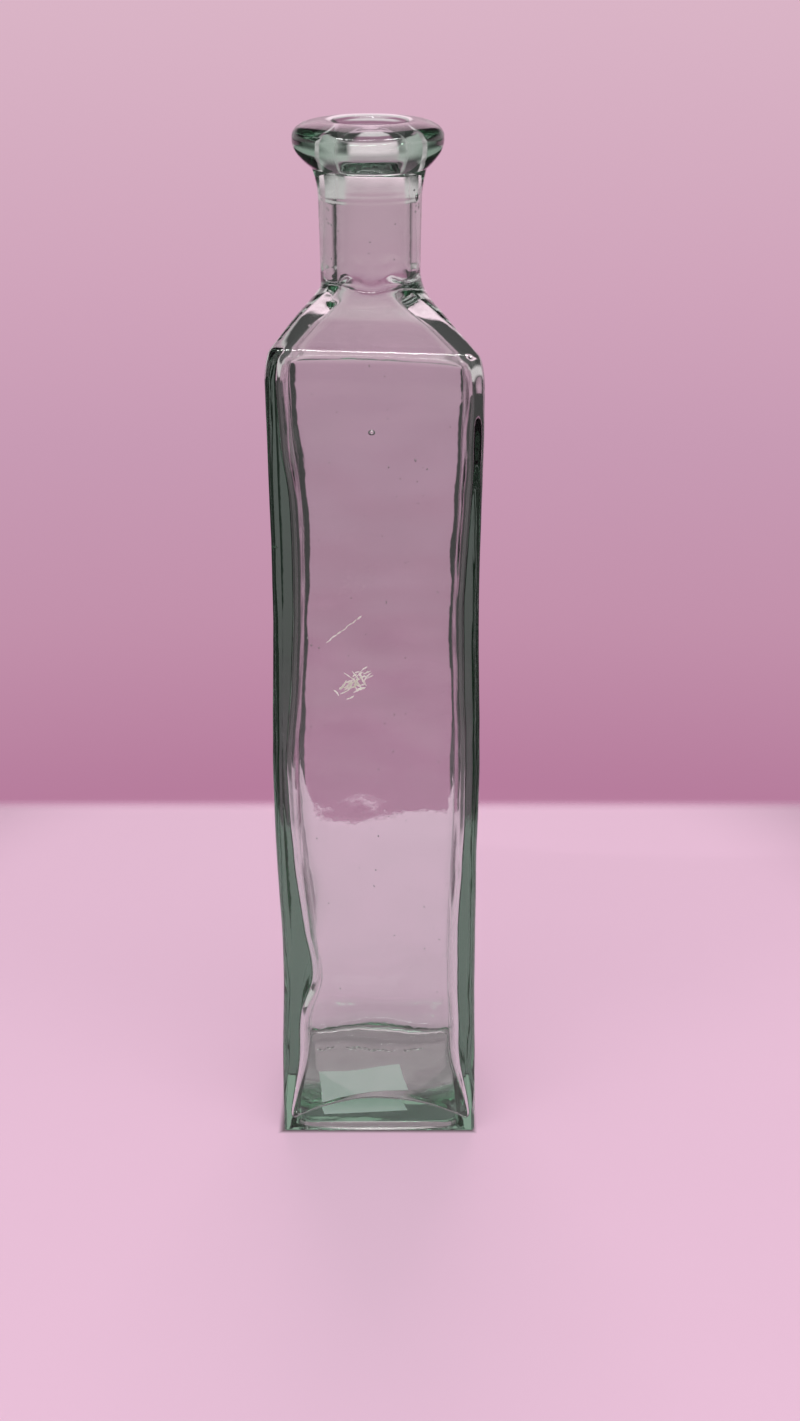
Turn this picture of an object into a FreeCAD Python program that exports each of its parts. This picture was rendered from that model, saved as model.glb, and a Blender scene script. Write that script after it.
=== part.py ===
import FreeCAD, Part
import Sketcher
import os

# A hand-finished square bottle of recycled glass, in millimetres.
# The origin is the middle of the base on the resting plane, +Z is up and the front panel faces -Y.
# The walls are uneven, as blown glass is: the outside and the air inside are lofted separately
# through level sections, and the glass is what lies between them.

DOCUMENT_NAME = "glass_bottle"
SHEET = "Dimensions"

# Driving dimensions: (alias, value, what it is).
DIMENSIONS = [
    ("half_depth", 29.25, "middle to the front panel, and to the back panel"),
    ("body_corner", 3.0, "radius of the four upright outer edges"),
    ("heel_radius", 1.2, "radius round the foot of the body"),
    ("recess_half", 24.5, "middle to the edge of the recess under the base"),
    ("recess_corner", 5.0, "corner radius of the recess"),
    ("recess_depth", 1.5, "depth of the recess, which leaves a rim to stand on"),
    ("panel_wall", 3.8, "thickness of the front and back walls"),
    ("cavity_corner", 4.0, "radius of the upright inner edges"),
    ("floor_centre", 11.0, "thickness of the glass at the middle of the pushed-up floor"),
    ("floor_edge", 2.0, "thickness of the glass at the four inner corners"),
    ("floor_reach", 37.0, "middle to an inner corner, over which the floor falls"),
    ("bend_radius", 8.0, "outer radius of the turn from the walls into the shoulder"),
    ("bend_turn", 49.0, "turn of the shoulder away from upright, in degrees"),
    ("shoulder_tilt", 2.5, "how far the shoulder leans down to the back, in degrees"),
    ("shoulder_top", 251.6, "level where the shoulder meets the neck"),
    ("shoulder_top_half", 15.0, "half width of the shoulder at the neck"),
    ("shoulder_top_corner", 10.0, "corner radius of the shoulder at the neck"),
    ("inner_bend_radius", 4.5, "inner radius of the turn into the shoulder"),
    ("inner_top", 248.2, "level where the air narrows to the bore"),
    ("inner_top_half", 11.0, "half width of the air where the bore starts"),
    ("inner_top_corner", 9.6, "corner radius of the air where the bore starts"),
    ("neck_shift", -1.05, "sideways shift of the neck axis from the body axis"),
    ("neck_lean", 3.0, "lean of the neck axis towards the front, in degrees"),
    ("neck_root", 246.0, "level on the neck axis where the neck starts, inside the shoulder"),
    ("neck_root_radius", 13.6, "neck radius at the shoulder"),
    ("neck_top_radius", 14.2, "neck radius under the lip"),
    ("bore_radius", 9.75, "radius of the bore, for a 19.5 mm cork"),
    ("lip_seat", 34.6, "neck root to the start of the lip's glass, along the neck"),
    ("spigot_radius", 12.2, "radius of the neck end that the lip is laid round"),
    ("spigot_top", 43.0, "neck root to the top of the neck end, inside the lip"),
    ("crease_radius", 15.9, "radius of the crease under the lip"),
    ("crease_height", 39.6, "neck root to the crease under the lip"),
    ("underside_radius", 19.6, "outer end of the lip's sloping underside"),
    ("underside_height", 43.8, "neck root to the outer end of the underside"),
    ("roll_radius", 3.9, "radius of the rolled outer edge of the lip"),
    ("brow_radius", 18.8, "radius where the rolled edge meets the top"),
    ("brow_height", 50.4, "neck root to where the rolled edge meets the top"),
    ("crown_radius", 13.2, "radius of the highest ring of the lip"),
    ("crown_height", 52.2, "neck root to the highest ring of the lip"),
    ("crown_curve", 9.6, "radius of the gently rounded top of the lip"),
    ("mouth_edge_height", 49.8, "neck root to where the mouth's rounded edge meets the bore"),
    ("mouth_edge_curve", 3.2, "radius of the mouth's rounded edge"),
    ("label_length", 26.0, "length of the paper label"),
    ("label_width", 16.0, "width of the paper label"),
    ("label_thickness", 0.12, "thickness of the paper and its glue"),
    ("label_corner", 0.8, "corner radius of the paper label"),
    ("label_x", -4.85, "label centre, sideways"),
    ("label_y", -9.0, "label centre, front to back"),
    ("label_turn", 9.0, "turn of the label about the upright axis, in degrees"),
    ("fleck_thickness", 0.1, "thickness of the paper left on the front panel"),
]

# Level sections of the outside: (height, middle to left wall, middle to right wall).
OUTER_LEVELS = [
    (0.0, 28.75, 29.75),
    (24.0, 28.85, 29.70),
    (49.0, 28.15, 29.30),
    (90.0, 29.45, 29.45),
    (118.0, 30.00, 30.00),
    (168.0, 29.05, 29.20),
    (215.0, 29.75, 30.00),
    (233.0, 30.05, 30.05),
]

# Level sections of the air inside: (height, middle to left inner wall, middle to right inner wall).
INNER_LEVELS = [
    (1.6, 27.35, 28.80),
    (10.0, 25.90, 27.60),
    (22.0, 24.20, 25.40),
    (37.5, 23.60, 24.90),
    (51.0, 19.90, 24.50),
    (67.0, 22.20, 24.50),
    (88.0, 24.80, 25.60),
    (118.0, 26.20, 26.30),
    (143.0, 24.70, 25.60),
    (168.0, 23.55, 25.30),
    (197.0, 24.20, 26.90),
    (215.0, 26.45, 27.60),
    (232.5, 27.40, 28.10),
]

# Shreds of old paper on the front panel: (centre x, centre z, length, width, tilt in degrees).
FLECKS = [
    (-7.6, 145.6, 5.6, 1.5, 38.0),
    (-4.2, 146.9, 5.2, 1.1, 22.0),
    (-6.0, 142.6, 3.4, 1.3, 64.0),
    (-2.9, 143.6, 2.4, 0.9, 48.0),
    (-9.3, 147.8, 1.8, 0.8, 12.0),
    (-13.4, 158.6, 3.0, 0.5, 36.0),
    (-8.2, 162.3, 5.4, 0.5, 34.0),
]

# Sections used for the turn from the walls into the shoulder.
BEND_STEPS = 3

# An edge under this level lies on the resting plane, and the foot's outline is inside this band.
RESTING_LEVEL = 0.001
FOOT_BAND = 2.5
QUARTER_TURN = 1.5707963267948966


def cell(alias):
    """The expression that reads one driving dimension."""
    return f"{SHEET}.{alias}"


def make_sheet(doc):
    """Put every driving dimension in the spreadsheet, one named row each."""
    sheet = doc.addObject("Spreadsheet::Sheet", SHEET)
    rows = list(DIMENSIONS)
    for prefix, levels in (("outer", OUTER_LEVELS), ("inner", INNER_LEVELS)):
        for index, level in enumerate(levels):
            for word, value in zip(("height", "left", "right"), level):
                rows.append((f"{prefix}_{index}_{word}", value, f"{prefix} section {index}: {word}"))
    for index, fleck in enumerate(FLECKS):
        for word, value in zip(("across", "level", "length", "width", "tilt"), fleck):
            rows.append((f"fleck_{index}_{word}", value, f"paper fleck {index}: {word}"))
    for row, (alias, value, meaning) in enumerate(rows, start=1):
        sheet.set(f"A{row}", alias)
        sheet.set(f"B{row}", str(value))
        sheet.set(f"C{row}", meaning)
        sheet.setAlias(f"B{row}", alias)
    doc.recompute()


def add_body(doc, label):
    """Start a PartDesign body under its own label."""
    body = doc.addObject("PartDesign::Body", label)
    body.Label = label
    return body


def add_sketch(body, name, plane="XY_Plane"):
    """Start a sketch on one of the body's own origin planes."""
    sketch = body.newObject("Sketcher::SketchObject", name)
    support = next(item for item in body.Origin.OriginFeatures if item.Role == plane)
    sketch.AttachmentSupport = [(support, "")]
    sketch.MapMode = "FlatFace"
    return sketch


def add_level_sketch(body, name, height=None, tilt=None):
    """Start a level sketch at a height, leaning down to the back where a tilt is given."""
    sketch = add_sketch(body, name)
    if height is not None:
        sketch.setExpression("AttachmentOffset.Base.z", height)
    if tilt is not None:
        lean = FreeCAD.Rotation(FreeCAD.Vector(-1, 0, 0), 0)
        sketch.AttachmentOffset = FreeCAD.Placement(FreeCAD.Vector(0, 0, 0), lean)
        sketch.setExpression("AttachmentOffset.Rotation.Angle", tilt)
    return sketch


def add_neck_sketch(body, name):
    """Start an upright sketch whose vertical axis is the leaning axis of the neck.

    Its origin is the neck root, its first axis points to the back and its second up the neck.
    """
    sketch = add_sketch(body, name, plane="YZ_Plane")
    sketch.setExpression("AttachmentOffset.Base.y", cell("neck_root"))
    sketch.setExpression("AttachmentOffset.Base.z", cell("neck_shift"))
    sketch.setExpression("AttachmentOffset.Rotation.Angle", f"{cell('neck_lean')} * 1 deg")
    return sketch


def drive(sketch, kind, references, start, expression):
    """Add a dimension that starts near its value and follows an expression."""
    index = sketch.addConstraint(Sketcher.Constraint(kind, *references, start))
    sketch.setExpression(f"Constraints[{index}]", expression)


def rounded_rectangle(body, name, left, right, half_depth, corner, height=None, tilt=None):
    """Sketch a level section: a rectangle with four equal round corners.

    left, right, half_depth and corner are expressions, each a distance from the origin
    except for corner, the radius of the corners.
    """
    sketch = add_level_sketch(body, name, height, tilt)
    reach, bend = 20.0, 2.0
    flat = reach - bend
    ends = [
        ((-flat, -reach), (flat, -reach)),
        ((reach, -flat), (reach, flat)),
        ((flat, reach), (-flat, reach)),
        ((-reach, flat), (-reach, -flat)),
    ]
    centres = [(flat, -flat), (flat, flat), (-flat, flat), (-flat, -flat)]
    for (x1, y1), (x2, y2) in ends:
        side = Part.LineSegment(FreeCAD.Vector(x1, y1, 0), FreeCAD.Vector(x2, y2, 0))
        sketch.addGeometry(side, False)
    for index, (x, y) in enumerate(centres):
        circle = Part.Circle(FreeCAD.Vector(x, y, 0), FreeCAD.Vector(0, 0, 1), bend)
        start = (index - 1) * QUARTER_TURN
        sketch.addGeometry(Part.ArcOfCircle(circle, start, start + QUARTER_TURN), False)
    front, right_side, back, left_side = range(4)
    for side in range(4):
        arc = side + 4
        following = (side + 1) % 4
        sketch.addConstraint(Sketcher.Constraint("Tangent", side, 2, arc, 1))
        sketch.addConstraint(Sketcher.Constraint("Tangent", arc, 2, following, 1))
    for arc in range(5, 8):
        sketch.addConstraint(Sketcher.Constraint("Equal", 4, arc))
    for side in (front, back):
        sketch.addConstraint(Sketcher.Constraint("Horizontal", side))
    for side in (left_side, right_side):
        sketch.addConstraint(Sketcher.Constraint("Vertical", side))
    drive(sketch, "Radius", (4,), bend, corner)
    drive(sketch, "DistanceX", (-1, 1, right_side, 1), reach, right)
    drive(sketch, "DistanceX", (left_side, 1, -1, 1), reach, left)
    drive(sketch, "DistanceY", (-1, 1, back, 1), reach, half_depth)
    drive(sketch, "DistanceY", (front, 1, -1, 1), reach, half_depth)
    return sketch


def add_loft(body, name, sections, ruled):
    """Loft a solid through sketches, from the first to the last."""
    loft = body.newObject("PartDesign::AdditiveLoft", name)
    loft.Profile = sections[0]
    loft.Sections = sections[1:]
    loft.Ruled = ruled
    return loft


def wall_sections(body, prefix, count, half_depth, corner):
    """Sketch the sections of the upright walls, one for each level in the sheet."""
    sections = []
    for index in range(count):
        row = f"{prefix}_{index}"
        section = rounded_rectangle(
            body,
            f"{row}_section",
            cell(f"{row}_left"),
            cell(f"{row}_right"),
            half_depth,
            corner,
            cell(f"{row}_height"),
        )
        sections.append(section)
    return sections


def shoulder_sections(body, prefix, last, half_depth, corner, bend, top):
    """Sketch the shoulder: a round turn in from the walls, then straight to the neck.

    last is the sheet row of the highest wall section, and top holds the expressions for the
    highest section: its half width, corner radius and level.
    """
    top_half, top_corner, top_height = top
    shift = cell("neck_shift")
    tilt = f"{cell('shoulder_tilt')} * 1 deg"
    sections = []
    for step in range(1, BEND_STEPS + 1):
        turn = f"{cell('bend_turn')} * 1 deg * {step} / {BEND_STEPS}"
        inset = f"{bend} * (1 - cos({turn}))"
        growth = f"({top_corner} - {corner}) * {inset} / ({half_depth} - {top_half})"
        section = rounded_rectangle(
            body,
            f"{prefix}_bend_{step}",
            f"{cell(last + '_left')} - {inset}",
            f"{cell(last + '_right')} - {inset}",
            f"{half_depth} - {inset}",
            f"{corner} + {growth}",
            f"{cell(last + '_height')} + {bend} * sin({turn})",
            f"{tilt} * {step} / {BEND_STEPS}",
        )
        sections.append(section)
    highest = rounded_rectangle(
        body,
        f"{prefix}_top",
        f"{top_half} - {shift}",
        f"{top_half} + {shift}",
        top_half,
        top_corner,
        top_height,
        tilt,
    )
    sections.append(highest)
    return sections


def make_outer_form(doc):
    """The outside of the blown glass, as a solid: walls, shoulder, neck and spigot."""
    body = add_body(doc, "outer_form")
    half_depth = cell("half_depth")
    corner = cell("body_corner")
    walls = wall_sections(body, "outer", len(OUTER_LEVELS), half_depth, corner)
    add_loft(body, "outer_walls", walls, ruled=False)
    top = (cell("shoulder_top_half"), cell("shoulder_top_corner"), cell("shoulder_top"))
    last = f"outer_{len(OUTER_LEVELS) - 1}"
    shoulder = shoulder_sections(body, "outer", last, half_depth, corner, cell("bend_radius"), top)
    add_loft(body, "outer_shoulder", [walls[-1]] + shoulder, ruled=True)
    neck_points = [
        (None, None),
        ("neck_root_radius", None),
        ("neck_top_radius", "lip_seat"),
        ("spigot_radius", "lip_seat"),
        ("spigot_radius", "spigot_top"),
        (None, "spigot_top"),
    ]
    turned(body, "neck", neck_points)
    recess_half = cell("recess_half")
    recess_outline = rounded_rectangle(
        body, "recess_outline", recess_half, recess_half, recess_half, cell("recess_corner")
    )
    recess = body.newObject("PartDesign::Pocket", "base_recess")
    recess.Profile = recess_outline
    recess.Reversed = True
    recess.setExpression("Length", cell("recess_depth"))
    doc.recompute()
    heel = body.newObject("PartDesign::Fillet", "heel")
    heel.Base = (recess, foot_edges(recess.Shape))
    heel.setExpression("Radius", cell("heel_radius"))
    return body


def foot_edges(shape):
    """The names of the edges round the outside of the foot."""
    reach = max(abs(shape.BoundBox.YMin), shape.BoundBox.YMax)
    names = []
    for index, edge in enumerate(shape.Edges, start=1):
        box = edge.BoundBox
        outermost = max(abs(box.XMin), box.XMax, abs(box.YMin), box.YMax)
        if box.ZMax < RESTING_LEVEL and outermost > reach - FOOT_BAND:
            names.append(f"Edge{index}")
    return names


def make_air_space(doc):
    """The air inside the blown glass, as a solid: cavity over the pushed-up floor, and bore."""
    body = add_body(doc, "air_space")
    half_depth = f"({cell('half_depth')} - {cell('panel_wall')})"
    corner = cell("cavity_corner")
    walls = wall_sections(body, "inner", len(INNER_LEVELS), half_depth, corner)
    add_loft(body, "inner_walls", walls, ruled=False)
    top = (cell("inner_top_half"), cell("inner_top_corner"), cell("inner_top"))
    last = f"inner_{len(INNER_LEVELS) - 1}"
    bend = cell("inner_bend_radius")
    shoulder = shoulder_sections(body, "inner", last, half_depth, corner, bend, top)
    add_loft(body, "inner_shoulder", [walls[-1]] + shoulder, ruled=True)
    bore_points = [
        (None, None),
        ("bore_radius", None),
        ("bore_radius", "spigot_top"),
        (None, "spigot_top"),
    ]
    turned(body, "bore", bore_points)
    add_pushed_up_floor(body)
    return body


def add_pushed_up_floor(body):
    """Take a dome out of the bottom of the air, which leaves the floor thick in the middle."""
    sketch = add_sketch(body, "floor_profile", plane="XZ_Plane")
    rise = f"({cell('floor_centre')} - {cell('floor_edge')})"
    reach = cell("floor_reach")
    crown = FreeCAD.Vector(0, 11, 0)
    edge = FreeCAD.Vector(37, 2, 0)
    middle = FreeCAD.Vector(19, 8.9, 0)
    foot = FreeCAD.Vector(37, -1, 0)
    axis_foot = FreeCAD.Vector(0, -1, 0)
    sketch.addGeometry(Part.Arc(edge, middle, crown), False)
    sketch.addGeometry(Part.LineSegment(crown, axis_foot), False)
    sketch.addGeometry(Part.LineSegment(axis_foot, foot), False)
    sketch.addGeometry(Part.LineSegment(foot, edge), False)
    dome, up, across, side = range(4)
    for first, first_end, second, second_end in (
        (dome, 2, up, 1),
        (up, 2, across, 1),
        (across, 2, side, 1),
        (side, 2, dome, 1),
    ):
        sketch.addConstraint(Sketcher.Constraint("Coincident", first, first_end, second, second_end))
    sketch.addConstraint(Sketcher.Constraint("PointOnObject", up, 1, -2))
    sketch.addConstraint(Sketcher.Constraint("PointOnObject", up, 2, -2))
    sketch.addConstraint(Sketcher.Constraint("Horizontal", across))
    sketch.addConstraint(Sketcher.Constraint("Vertical", side))
    drive(sketch, "DistanceY", (-1, 1, up, 1), 11.0, cell("floor_centre"))
    drive(sketch, "DistanceY", (-1, 1, side, 2), 2.0, cell("floor_edge"))
    drive(sketch, "DistanceX", (-1, 1, side, 2), 37.0, reach)
    drive(sketch, "DistanceY", (up, 2, -1, 1), 1.0, "1 mm")
    drive(sketch, "Radius", (dome,), 80.5, f"({reach} ^ 2 + {rise} ^ 2) / (2 * {rise})")
    floor = body.newObject("PartDesign::Groove", "pushed_up_floor")
    floor.Profile = sketch
    floor.ReferenceAxis = (sketch, ["V_Axis"])
    floor.Angle = 360.0
    return floor


def make_glass_body(doc):
    """The blown bottle: the outer form with the air taken out of it."""
    outer = make_outer_form(doc)
    air = make_air_space(doc)
    glass = doc.addObject("Part::Cut", "glass_body")
    glass.Label = "glass_body"
    glass.Base = outer
    glass.Tool = air
    return glass


def make_applied_lip(doc):
    """The collar of glass laid round the neck end."""
    body = add_body(doc, "applied_lip")
    points = [
        ("spigot_radius", "lip_seat"),
        ("neck_top_radius", "lip_seat"),
        ("crease_radius", "crease_height"),
        ("underside_radius", "underside_height"),
        ("brow_radius", "brow_height"),
        ("crown_radius", "crown_height"),
        ("bore_radius", "mouth_edge_height"),
        ("bore_radius", "spigot_top"),
        ("spigot_radius", "spigot_top"),
    ]
    curves = {3: "roll_radius", 4: "crown_curve", 5: "mouth_edge_curve"}
    turned(body, "collar", points, curves)
    return body


def turned(body, name, points, curves=None):
    """Turn a profile about the neck axis.

    points are pairs of aliases, radius and distance up the neck, in order round the profile, with
    None for zero. curves gives the radius of the sides that bulge outwards, by their place.
    """
    curves = curves or {}
    values = {alias: value for alias, value, _ in DIMENSIONS}
    values[None] = 0.0
    sketch = add_neck_sketch(body, f"{name}_profile")
    corners = [FreeCAD.Vector(values[radius], values[level], 0) for radius, level in points]
    count = len(corners)
    for index, start in enumerate(corners):
        end = corners[(index + 1) % count]
        if index in curves:
            middle = arc_middle(start, end, values[curves[index]])
            sketch.addGeometry(Part.Arc(start, middle, end), False)
        else:
            sketch.addGeometry(Part.LineSegment(start, end), False)
    for index, (radius, level) in enumerate(points):
        following = (index + 1) % count
        sketch.addConstraint(Sketcher.Constraint("Coincident", index, 2, following, 1))
        place(sketch, "DistanceX", index, radius, values)
        place(sketch, "DistanceY", index, level, values)
    for index, alias in curves.items():
        drive(sketch, "Radius", (index,), values[alias], cell(alias))
    feature = body.newObject("PartDesign::Revolution", name)
    feature.Profile = sketch
    feature.ReferenceAxis = (sketch, ["V_Axis"])
    feature.Angle = 360.0
    return feature


def place(sketch, kind, index, alias, values):
    """Hold the start of one side at a distance from an axis, or on the axis for None."""
    if alias is None:
        axis = -2 if kind == "DistanceX" else -1
        sketch.addConstraint(Sketcher.Constraint("PointOnObject", index, 1, axis))
    else:
        drive(sketch, kind, (-1, 1, index, 1), values[alias], cell(alias))


def arc_middle(start, end, radius):
    """The middle point of an arc that bulges to the right of the way from start to end."""
    chord = end - start
    sagitta = radius - (radius**2 - (chord.Length / 2) ** 2) ** 0.5
    outward = FreeCAD.Vector(chord.y, -chord.x, 0).normalize()
    return (start + end) / 2 + outward * sagitta


def make_price_label(doc):
    """The paper sticker on the roof of the recess under the base."""
    body = add_body(doc, "price_label")
    half_length = f"{cell('label_length')} / 2"
    half_width = f"{cell('label_width')} / 2"
    outline = rounded_rectangle(
        body, "label_outline", half_length, half_length, half_width, cell("label_corner")
    )
    paper = body.newObject("PartDesign::Pad", "label_paper")
    paper.Profile = outline
    paper.setExpression("Length", cell("label_thickness"))
    body.setExpression("Placement.Base.x", cell("label_x"))
    body.setExpression("Placement.Base.y", cell("label_y"))
    body.setExpression("Placement.Base.z", f"{cell('recess_depth')} - {cell('label_thickness')}")
    body.setExpression("Placement.Rotation.Angle", f"{cell('label_turn')} * 1 deg")
    return body


def make_label_residue(doc):
    """The shreds of paper and glue left where a label was peeled off the front panel."""
    shreds = []
    for index in range(len(FLECKS)):
        fleck = f"{SHEET}.fleck_{index}"
        tilt = f"{fleck}_tilt * 1 deg"
        shred = doc.addObject("Part::Box", f"shred_{index}")
        shred.setExpression("Length", f"{fleck}_length")
        shred.setExpression("Width", cell("fleck_thickness"))
        shred.setExpression("Height", f"{fleck}_width")
        shred.Placement.Rotation = FreeCAD.Rotation(FreeCAD.Vector(0, -1, 0), 0)
        along = f"({fleck}_length * cos({tilt}) - {fleck}_width * sin({tilt})) / 2"
        upward = f"({fleck}_length * sin({tilt}) + {fleck}_width * cos({tilt})) / 2"
        shred.setExpression("Placement.Base.x", f"{fleck}_across - {along}")
        shred.setExpression("Placement.Base.y", f"-{cell('half_depth')} - {cell('fleck_thickness')}")
        shred.setExpression("Placement.Base.z", f"{fleck}_level - {upward}")
        shred.setExpression("Placement.Rotation.Angle", tilt)
        shreds.append(shred)
    residue = doc.addObject("Part::MultiFuse", "label_residue")
    residue.Label = "label_residue"
    residue.Shapes = shreds
    return residue


def check_document(doc, parts):
    """Stop if an object failed to compute, or a sub-part has no sound shape."""
    for item in doc.Objects:
        if "Invalid" in item.State or "Error" in item.State:
            raise RuntimeError(f"{item.Name} failed: {item.State}")
    for part in parts:
        if part.Shape.isNull() or not part.Shape.isValid() or not part.Shape.Solids:
            raise RuntimeError(f"{part.Label} has no sound solid")


def check_cuts(doc):
    """Stop if a feature that takes material away left its base as it was."""
    for name in ("base_recess", "pushed_up_floor"):
        cut = doc.getObject(name)
        if cut.Shape.Volume >= cut.BaseFeature.Shape.Volume:
            raise RuntimeError(f"{name} cut nothing")


def main():
    """Build the bottle and write one STEP file for each sub-part."""
    doc = FreeCAD.newDocument(DOCUMENT_NAME)
    make_sheet(doc)
    parts = [
        make_glass_body(doc),
        make_applied_lip(doc),
        make_price_label(doc),
        make_label_residue(doc),
    ]
    doc.recompute()
    check_document(doc, parts)
    check_cuts(doc)
    os.makedirs("parts", exist_ok=True)
    for part in parts:
        part.Shape.exportStep(f"parts/{part.Label}.step")
        print(part.Label, len(part.Shape.Solids), "solids", round(part.Shape.Volume), "mm3")


main()
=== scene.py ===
import math
import random

import bmesh
import bpy
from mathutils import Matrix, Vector, noise


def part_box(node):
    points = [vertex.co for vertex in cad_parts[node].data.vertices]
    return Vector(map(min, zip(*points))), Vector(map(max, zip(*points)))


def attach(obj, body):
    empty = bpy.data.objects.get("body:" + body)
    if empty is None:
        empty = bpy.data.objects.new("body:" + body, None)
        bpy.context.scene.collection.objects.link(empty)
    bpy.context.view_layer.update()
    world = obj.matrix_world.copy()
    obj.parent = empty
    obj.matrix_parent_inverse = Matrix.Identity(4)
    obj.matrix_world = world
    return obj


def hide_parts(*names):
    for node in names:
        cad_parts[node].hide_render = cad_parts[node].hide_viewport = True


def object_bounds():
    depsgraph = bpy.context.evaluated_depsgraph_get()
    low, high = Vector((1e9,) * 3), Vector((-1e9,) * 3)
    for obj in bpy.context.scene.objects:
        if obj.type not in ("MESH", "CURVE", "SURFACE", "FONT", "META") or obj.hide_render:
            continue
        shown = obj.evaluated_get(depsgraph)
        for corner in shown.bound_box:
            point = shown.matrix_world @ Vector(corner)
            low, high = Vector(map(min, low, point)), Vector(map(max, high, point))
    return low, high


# An empty square bottle of pale green recycled glass on a pale floor.
# Shapes are worked out in millimetres in the CAD frame and scaled to metres as they become meshes.
# Distances "up the neck" are measured along the neck's leaning axis from its root in the shoulder.

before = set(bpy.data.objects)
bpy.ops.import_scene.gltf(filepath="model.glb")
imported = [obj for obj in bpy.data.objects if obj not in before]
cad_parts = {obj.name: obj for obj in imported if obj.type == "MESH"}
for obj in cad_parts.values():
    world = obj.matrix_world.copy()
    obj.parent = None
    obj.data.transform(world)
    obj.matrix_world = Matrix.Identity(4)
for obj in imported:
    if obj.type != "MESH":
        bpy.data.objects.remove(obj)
CAD_LOW, CAD_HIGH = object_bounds()

MM = 0.001
_, BODY_HIGH = (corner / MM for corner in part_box("glass_body"))
LABEL_LOW, LABEL_HIGH = (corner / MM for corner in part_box("price_label"))
RESIDUE_LOW, RESIDUE_HIGH = (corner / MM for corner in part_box("label_residue"))

# ---------------------------------------------------------------- body, outside
HALF_DEPTH = BODY_HIGH.y
BODY_CORNER = 2.8
FOOT_CORNER = 1.0
# Level from which the upright edges, outside and inside, have their full radius.
CORNER_LEVEL = 30.0
HEEL_RADIUS = 0.8
# (height, middle to left wall, middle to right wall)
OUTER_LEVELS = [
    (0.0, 28.75, 29.75),
    (24.0, 28.85, 29.70),
    (49.0, 28.15, 29.30),
    (66.0, 28.35, 29.35),
    (90.0, 29.45, 29.45),
    (118.0, 30.00, 30.00),
    (168.0, 29.05, 29.20),
    (215.0, 29.75, 30.00),
    (230.2, 30.05, 30.00),
]
OUTER_RIPPLE = 0.10
# Levels between which the ripple of the walls sets in.
OUTER_RIPPLE_START = (4.0, 14.0)
OUTER_STEP = 2.0

# ---------------------------------------------------------------- base
RECESS_HALF = 24.5
RECESS_CORNER = 5.0
RECESS_DEPTH = 1.5
RECESS_ROUND = 0.8
RIM_ROUND = 0.5
ROOF_RIPPLE = 0.10
# The row of raised dots: (sideways place of a group's first dot, number of dots in it)
STUD_GROUPS = ((-18.0, 2), (-8.6, 5), (9.5, 2))
STUD_SPACING = 2.9
STUD_ROW_Y = 10.8
STUD_ZIGZAG = 0.5
STUD_RADIUS = 1.35
STUD_HEIGHT = 1.15

# ---------------------------------------------------------------- shoulder
BEND_RADIUS = 8.0
BEND_TURN = math.radians(38.4)
SHOULDER_TILT = math.radians(8.0)
SHOULDER_TOP = 251.8
SHOULDER_TOP_HALF = 15.0
SHOULDER_TOP_CORNER = 9.0
SHOULDER_SOFT = 0.9
SHOULDER_SOFT_RIGHT = 4.5
SHOULDER_SLANT = 0.030
SHOULDER_RIPPLE = 0.12
SHOULDER_STEP = 0.6
# Heights over the top of the straight slope: where the ring's lean starts to change to the neck's,
# where its points start to spread evenly round the neck, and where both are done.
LEAN_START = -7.0
SPREAD_START = 4.0
NECK_START = 9.0

# ---------------------------------------------------------------- neck and lip
NECK_X = -1.45
NECK_LEAN = math.radians(3.0)
NECK_ROOT = 246.0
NECK_ROOT_RADIUS = 13.8
NECK_TOP_RADIUS = 14.4
NECK_FLARE_START = 31.0
NECK_STEP = 0.4
NECK_RIDGES = (32.1, 33.8)
NECK_RIDGE_HEIGHT = 0.10
NECK_RIDGE_WIDTH = 0.30
LIP_TILT = math.radians(1.2)
LIP_SHIFT = -0.45
BORE_X = 0.6
BORE_RADIUS = 10.3
BORE_WAVE = 0.03
BORE_STEP = 1.0
# The lip from the crease over the top to the bore: (radius, distance up the neck)
LIP_PROFILE = [
    (15.9, 39.6),
    (17.8, 41.3),
    (19.7, 43.5),
    (20.7, 45.5),
    (20.95, 47.5),
    (20.7, 49.2),
    (19.3, 50.8),
    (17.0, 51.8),
    (14.2, 52.35),
    (12.0, 52.4),
    (10.9, 52.1),
    (10.35, 51.3),
]

# ---------------------------------------------------------------- air inside
PANEL_WALL = 3.8
CAVITY_CORNER = 4.0
CAVITY_FOOT_CORNER = 1.6
# (height, middle to left inner wall, middle to right inner wall)
INNER_LEVELS = [
    (0.0, 27.60, 29.00),
    (10.0, 25.90, 27.60),
    (22.0, 24.20, 25.40),
    (37.5, 23.60, 24.90),
    (51.0, 19.90, 24.50),
    (67.0, 22.20, 24.50),
    (88.0, 24.80, 25.60),
    (118.0, 26.20, 26.30),
    (143.0, 24.70, 25.60),
    (168.0, 23.55, 25.30),
    (197.0, 24.20, 26.90),
    (215.0, 26.45, 27.60),
    (229.8, 27.40, 28.10),
]
INNER_RIPPLE = 0.30
INNER_RIPPLE_START = (10.0, 24.0)
INNER_STEP = 2.0
INNER_BEND_RADIUS = 4.5
INNER_TOP = 247.5
INNER_TOP_HALF = 13.1
INNER_TOP_CORNER = 6.0
INNER_SOFT = 0.5
INNER_RISE = 1.0
FLOOR_MIDDLE = 11.0
FLOOR_FALL = 1.5
FLOOR_CORNER_FALL = 7.0
FLOOR_FILLET = 1.6
FLOOR_FILLET_BACK = 6.5
FLOOR_RIPPLE = 0.25
LOW_WALL = 26.0
# The roll of glass along the foot of the back wall: how far it stands in, its level and its reach.
HEEL_ROLL = 2.2
HEEL_ROLL_LEVEL = 15.0
HEEL_ROLL_REACH = 2.6

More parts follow.
